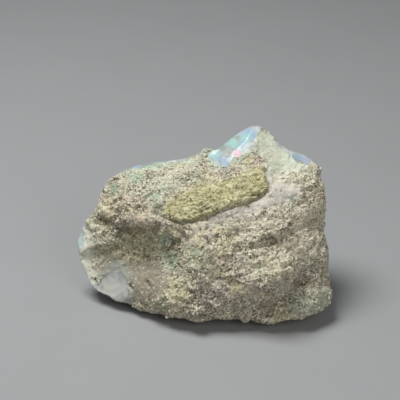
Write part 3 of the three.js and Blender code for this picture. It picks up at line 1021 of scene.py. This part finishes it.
def crust_material(colours, groups):
    """Weathered ash: matt and grainy, in beige, green and pink, with smoother tinted zones and painted shade
    and light.
    """
    material, tree, surface = new_material("ash_crust")
    tint = opaque(colours.ash)
    for name, scale, offset, cover in CRUST_BLOTCHES:
        blotch = group_node(tree, groups["blotches"], {"Scale": scale, "Offset": offset, "Cover": cover})
        tint = mixed(tree, blotch["Mask"], tint, opaque(getattr(colours, name)))
    for name in TINTED:
        tint = mixed(tree, product(tree, mask(tree, name), ZONE_TINT), tint, opaque(getattr(colours, name)))
    calm = 0.0
    for name, share in UNSPECKLED.items():
        calm = sums(tree, "ADD", calm, product(tree, mask(tree, name), share), clamp=True)
    veil = group_node(tree, groups["blotches"], VEIL)
    rough = sums(tree, "SUBTRACT", 1.0, product(tree, calm, ZONE_QUIET))
    rough = product(tree, rough, ranged(tree, veil["Mask"], 0.0, 1.0, 1.0, VEIL_SHARE))
    fine = group_node(tree, groups["speckle"], FINE_SPECKLE)
    grain = mask(tree, "grain")
    speckles = [
        (ranged(tree, grain, *GRAIN_TOPS), colours.grain_light),
        (ranged(tree, grain, *GRAIN_GAPS), colours.dark_grains_and_shade),
        (product(tree, fine["Light"], FINE_LIGHT), colours.grain_light),
        (product(tree, fine["Dark"], FINE_DARK), colours.dark_grains_and_shade),
    ]
    for share, value in speckles:
        tint = mixed(tree, product(tree, share, rough), tint, opaque(value))

    patchy = group_node(tree, groups["blotches"], TUFF_PATCHES)
    tuff = mixed(tree, patchy["Mask"], opaque(colours.tuff), opaque(colours.tuff_light))
    tuff = mixed(tree, product(tree, fine["Light"], TUFF_SPECKLE), tuff, opaque(colours.tuff_light))
    tuff = mixed(tree, product(tree, fine["Dark"], TUFF_SPECKLE), tuff, opaque(colours.tuff_dark))
    tint = mixed(tree, mask(tree, "slab"), tint, tuff)
    # Painted shade in the pits, gullies and valleys.
    tint = mixed(tree, product(tree, mask(tree, "pit"), RECESS_SHADE_TINT), tint, opaque(colours.dark_grains_and_shade))
    feed(tree, surface.inputs["Base Color"], tint)
    feed(tree, surface.inputs["Roughness"], ranged(tree, calm, 0.0, 1.0, *CRUST_ROUGHNESS))
    height = product(tree, fine["Height"], rough)
    bump = node(tree, "ShaderNodeBump", {"Height": height, **CRUST_BUMP})
    feed(tree, surface.inputs["Normal"], bump.outputs["Normal"])
    return material


def grain_material(colours):
    """Loose grains set in the crust: from dark to nearly white, and olive ones in the slab."""
    material, tree, surface = new_material("mineral_grains")
    shade = mask(tree, "shade")
    ash, tuff = (tone_ramp(tree, shade, [(position, getattr(colours, name)) for position, name in stops])
                 for stops in (ASH_GRAINS, TUFF_GRAINS))
    feed(tree, surface.inputs["Base Color"], mixed(tree, mask(tree, "slab"), ash, tuff))
    feed(tree, surface.inputs["Roughness"], GRAINS_ROUGHNESS)
    return material


def opal_material(colours, groups):
    """Bare opal: milky, glossy and see-through in part, with its play of colour, its flashes and painted
    glints.
    """
    material, tree, surface = new_material("bare_opal")
    broad = group_node(tree, groups["play"], BROAD_PLAY)
    fine = group_node(tree, groups["play"], FINE_PLAY)
    clouds = group_node(tree, groups["blotches"], OPAL_CLOUDS)["Mask"]
    strong = mask(tree, "play")
    tint = mixed(tree, product(tree, clouds, OPAL_CLOUD_SHARE), opaque(colours.opal), opaque(colours.clouds))
    tint = mixed(tree, product(tree, broad["Strength"], strong), tint, broad["Color"])
    weaker = product(tree, strong, FINE_PLAY_SHARE)
    tint = mixed(tree, product(tree, fine["Strength"], weaker), tint, fine["Color"])
    flash = node(tree, "ShaderNodeAttribute", attribute_name="flash", attribute_type="GEOMETRY").outputs
    feed(tree, surface.inputs["Base Color"], mixed(tree, flash["Alpha"], tint, flash["Color"]))
    feed(tree, surface.inputs["Roughness"], ranged(tree, clouds, 0.0, 1.0, *OPAL_ROUGHNESS))
    for name, value in OPAL_SURFACE.items():
        feed(tree, surface.inputs[name], value)
    return material


def floor_material(value):
    """The plain floor, very slightly uneven in tone."""
    material, tree, surface = new_material("plain_floor")
    clouds = noise_node(tree, own_place(tree), FLOOR_CLOUDS, 3.0)["Fac"]
    darker = tuple(FLOOR_DARKER * part for part in value)
    feed(tree, surface.inputs["Base Color"], mixed(tree, clouds, opaque(darker), opaque(value)))
    feed(tree, surface.inputs["Roughness"], FLOOR_ROUGHNESS)
    return material


def turned(chance, count):
    """This many random turns, as an array of 3 by 3 matrices."""
    return np.linalg.qr(chance.normal(size=(count, 3, 3)))[0]


def scatter_grains(stone):
    """A piece of thousands of small uneven grains, half sunk in the rough parts of the stone's crust."""
    bm = bmesh.new()
    bmesh.ops.create_icosphere(bm, subdivisions=1, radius=0.5)
    ball = np.array([vertex.co for vertex in bm.verts])
    for _ in range(GRAIN_DOUBLINGS):
        bmesh.ops.duplicate(bm, geom=bm.verts[:] + bm.edges[:] + bm.faces[:])
    grains = new_piece("crust_grains", bm)
    count = 2 ** GRAIN_DOUBLINGS

    chance = np.random.RandomState(GRAIN_SEED)
    mesh = stone.data
    weights = read(mesh.polygons, "area", 1) * face_means(mesh, saved(mesh, "cover"))
    faces = chance.choice(len(weights), count, p=weights / weights.sum())
    centres = read(mesh.polygons, "center")[faces] / MM
    normals = read(mesh.polygons, "normal")[faces]
    widths = between(chance.power(GRAIN_SMALLNESS, count), *GRAIN_WIDTHS)
    stretch = chance.uniform(*GRAIN_STRETCH, (count, 3))
    raised = chance.uniform(*GRAIN_SEATS, count) * widths
    turns = turned(chance, count)
    shapes = (ball[None] * stretch[:, None]) @ turns * widths[:, None, None]
    places = centres[:, None] + normals[:, None] * raised[:, None, None] + shapes
    write_places(grains.data, places.reshape(-1, 3))
    save(grains.data, "shade", np.repeat(chance.uniform(0, 1, count), len(ball)))
    save(grains.data, "slab", np.repeat(face_means(mesh, saved(mesh, "slab"))[faces], len(ball)))
    return grains


class OPAL_OT_grains(bpy.types.Operator):
    """Set thousands of small mineral grains in the crust"""
    bl_idname = "opal.build_grains"
    bl_label = "Build Grains"

    def execute(self, context):
        stone = bpy.data.objects.get(STONE_PIECE)
        if stone is None:
            raise RuntimeError("Build the stone before its grains")
        grains = scatter_grains(stone)
        grains.data.materials.append(grain_material(context.scene.opal_colours))
        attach(grains, BODY)
        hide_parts(SOLID)
        return {"FINISHED"}


class OPAL_OT_stone(bpy.types.Operator):
    """Model the stone: its broken shells, its ash crust with the tuff slab, and its bare opal"""
    bl_idname = "opal.build_stone"
    bl_label = "Build Stone"

    def execute(self, context):
        sizes = context.scene.opal_sizes
        colours = context.scene.opal_colours
        noise.seed_set(WANDER_SEED)
        stone = start_stone(sizes.grid)
        break_shells(stone)
        surface = Surface(stone.data)
        crust = crust_cover(surface)
        masks = zone_masks(surface)
        slab = slab_cover(surface, crust)
        relief, grain, pit = model_relief(surface, sizes, crust, slab, masks)
        write_places(stone.data, surface.places + surface.normals * relief[:, None])

        play = FRONT_PLAY + BACK_PLAY * smooth(surface.facing, *PLAY_FACING)
        cover = grain_cover(surface, crust, masks)
        masks.update(grain=grain, pit=pit, slab=slab, play=play, cover=cover)
        for name, values in masks.items():
            save(stone.data, name, values)
        flash = stone.data.attributes.new("flash", "FLOAT_COLOR", "POINT")
        flash.data.foreach_set("color", flash_colours(surface).astype(np.float32).ravel())

        groups = {"speckle": speckle_group(), "blotches": blotch_group(), "play": play_group()}
        stone.data.materials.append(crust_material(colours, groups))
        stone.data.materials.append(opal_material(colours, groups))
        bare = face_means(stone.data, crust) < 0.5
        stone.data.polygons.foreach_set("material_index", bare.astype(np.int32))
        stone.data.shade_smooth()
        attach(stone, BODY)
        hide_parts(SOLID)
        return {"FINISHED"}


class OPAL_OT_stage(bpy.types.Operator):
    """Lay the plain floor, hang the soft lights and place the camera"""
    bl_idname = "opal.build_stage"
    bl_label = "Build Stage"

    def execute(self, context):
        scene = context.scene
        stage = scene.opal_stage
        bm = bmesh.new()
        bmesh.ops.create_grid(bm, x_segments=1, y_segments=1, size=FLOOR_HALF_WIDTH)
        bmesh.ops.translate(bm, verts=bm.verts, vec=(0, 0, -FLOOR_DROP))
        floor = new_piece("floor", bm)
        floor.data.materials.append(floor_material(stage.floor))

        for (name, size, seat), power in ((KEY_LAMP, stage.key_power), (FRONT_LAMP, stage.front_power)):
            lamp = bpy.data.lights.new(name, "AREA")
            lamp.shape = "DISK"
            lamp.size = size
            lamp.energy = power
            place_object(scene, lamp, Vector(seat), LIT_POINT)
        world = bpy.data.worlds.new("studio")
        world.use_nodes = True
        world.node_tree.nodes["Background"].inputs["Color"].default_value = (1, 1, 1, 1)
        world.node_tree.nodes["Background"].inputs["Strength"].default_value = stage.fill
        scene.world = world

        camera = bpy.data.cameras.new("camera")
        camera.sensor_width = 2 * SENSOR_HALF_WIDTH
        camera.lens = stage.lens
        camera.clip_start = 0.01
        camera.clip_end = 20
        target = Vector(LOOKED_AT * MM)
        seat = target + Vector(TO_VIEWER * VIEWER_DISTANCE * MM)
        scene.camera = place_object(scene, camera, seat, target)
        scene.view_settings.view_transform = "Standard"
        scene.view_settings.look = "None"
        return {"FINISHED"}


def place_object(scene, data, seat, target):
    """Puts a light or a camera at its seat, turned to its target."""
    made = bpy.data.objects.new(data.name, data)
    made.location = seat
    made.rotation_euler = (target - seat).to_track_quat("-Z", "Y").to_euler()
    scene.collection.objects.link(made)
    return made


class OPAL_PT_panel(bpy.types.Panel):
    """The builder's buttons and values"""
    bl_label = "Rough Opal"
    bl_idname = "OPAL_PT_panel"
    bl_space_type = "VIEW_3D"
    bl_region_type = "UI"
    bl_category = "Opal"

    def draw(self, context):
        layout = self.layout
        for group in (context.scene.opal_sizes, context.scene.opal_colours, context.scene.opal_stage):
            box = layout.box()
            for name in group.__annotations__:
                box.prop(group, name)
        layout.operator(OPAL_OT_stone.bl_idname)
        layout.operator(OPAL_OT_grains.bl_idname)
        layout.operator(OPAL_OT_stage.bl_idname)


CLASSES = (StoneSizes, StoneColours, StageSizes, OPAL_OT_stone, OPAL_OT_grains, OPAL_OT_stage, OPAL_PT_panel)


def register():
    for made in CLASSES:
        bpy.utils.register_class(made)
    bpy.types.Scene.opal_sizes = PointerProperty(type=StoneSizes)
    bpy.types.Scene.opal_colours = PointerProperty(type=StoneColours)
    bpy.types.Scene.opal_stage = PointerProperty(type=StageSizes)


def unregister():
    del bpy.types.Scene.opal_stage
    del bpy.types.Scene.opal_colours
    del bpy.types.Scene.opal_sizes
    for made in reversed(CLASSES):
        bpy.utils.unregister_class(made)


def main():
    register()
    bpy.ops.opal.build_stage()
    bpy.ops.opal.build_stone()
    bpy.ops.opal.build_grains()


if __name__ == "__main__":
    main()
